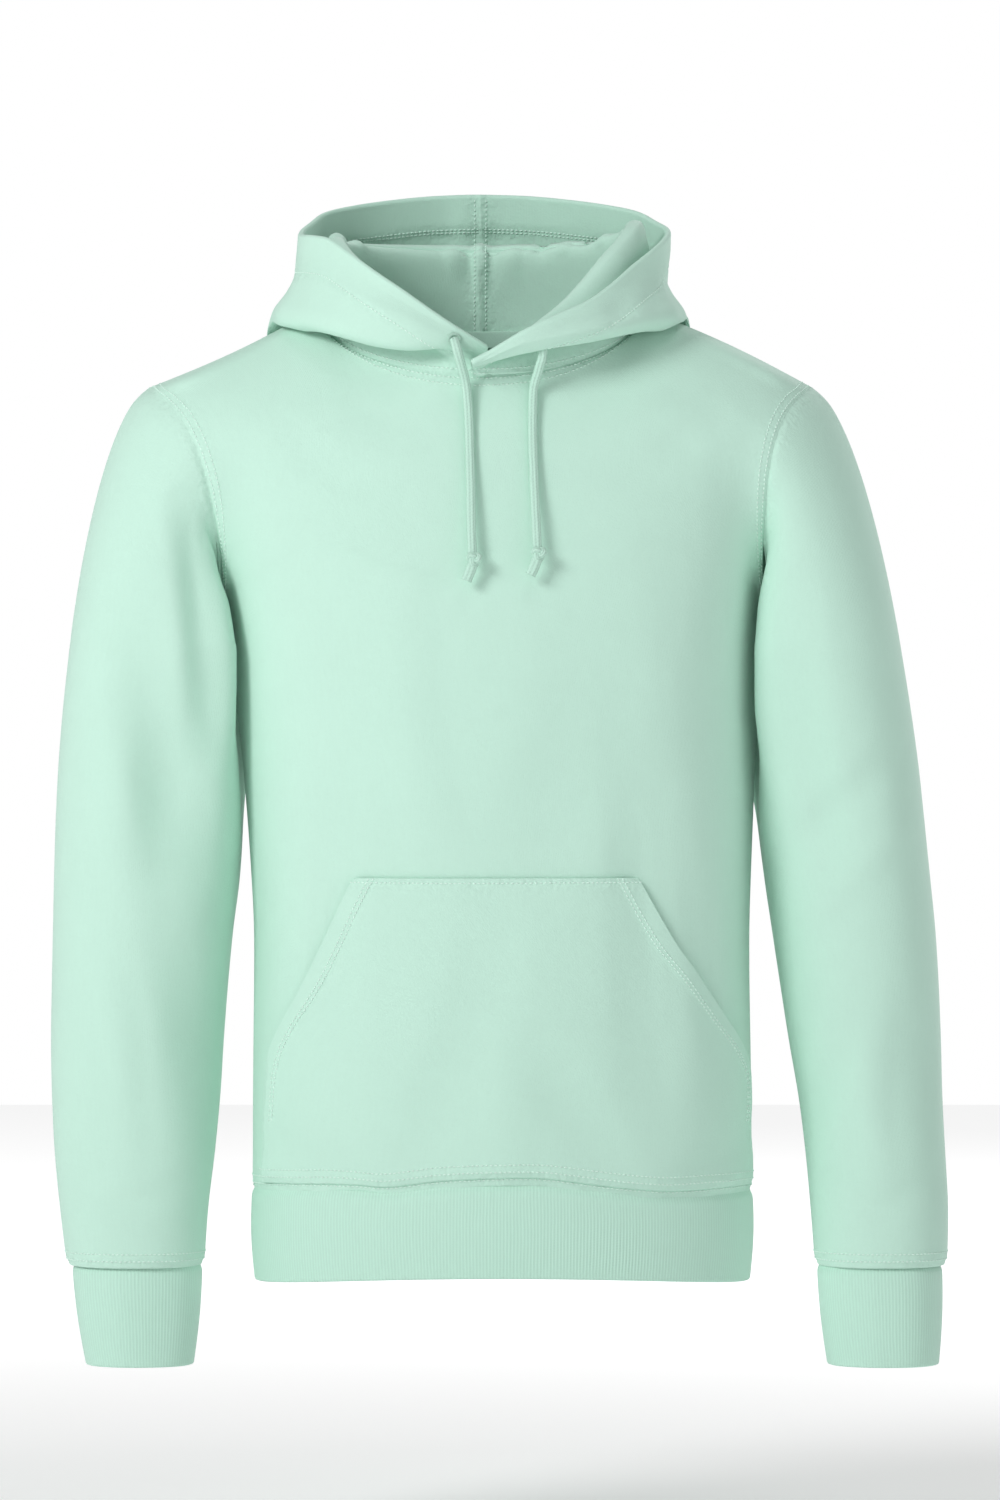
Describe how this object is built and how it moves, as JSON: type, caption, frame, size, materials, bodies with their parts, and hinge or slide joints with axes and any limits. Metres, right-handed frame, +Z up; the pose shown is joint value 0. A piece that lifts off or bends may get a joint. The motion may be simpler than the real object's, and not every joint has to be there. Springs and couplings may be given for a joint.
{
  "type": "pullover hoodie",
  "caption": "Hip-length pullover sweatshirt with a lowered hood, drawcord, long sleeves, kangaroo pocket and ribbed hem and cuffs, in its worn shape.",
  "frame": {"origin": "where the wearer's neck and shoulders carry the garment: between the shoulders, level with the sides of the neckline and in the plane of the shoulder seams", "axes": "+X to the wearer's left, the chest faces -Y, +Z up along the body"},
  "size_m": [0.6265, 0.2989, 0.8218],
  "materials": {
    "fleece": "heavy loop-backed cotton fleece with a smooth knitted face and a soft nap",
    "rib_knit": "fine one-by-one rib knit",
    "cord_braid": "flat tubular cotton braid and embroidered eyelet"
  },
  "bodies": {
    "root": {"front_panel": "fleece", "back_panel": "fleece", "sleeve_right": "fleece", "sleeve_left": "fleece", "kangaroo_pocket": "fleece", "hood_right": "fleece", "hood_left": "fleece", "neck_tape": "fleece", "hem_rib": "rib_knit", "cuff_right": "rib_knit", "cuff_left": "rib_knit", "eyelet_right": "cord_braid", "drawcord_right": "cord_braid", "drawcord_left": "cord_braid", "drawcord_knot_right": "cord_braid", "drawcord_knot_left": "cord_braid", "drawcord_tail_right": "cord_braid", "drawcord_tail_left": "cord_braid"}
  },
  "joints": []
}
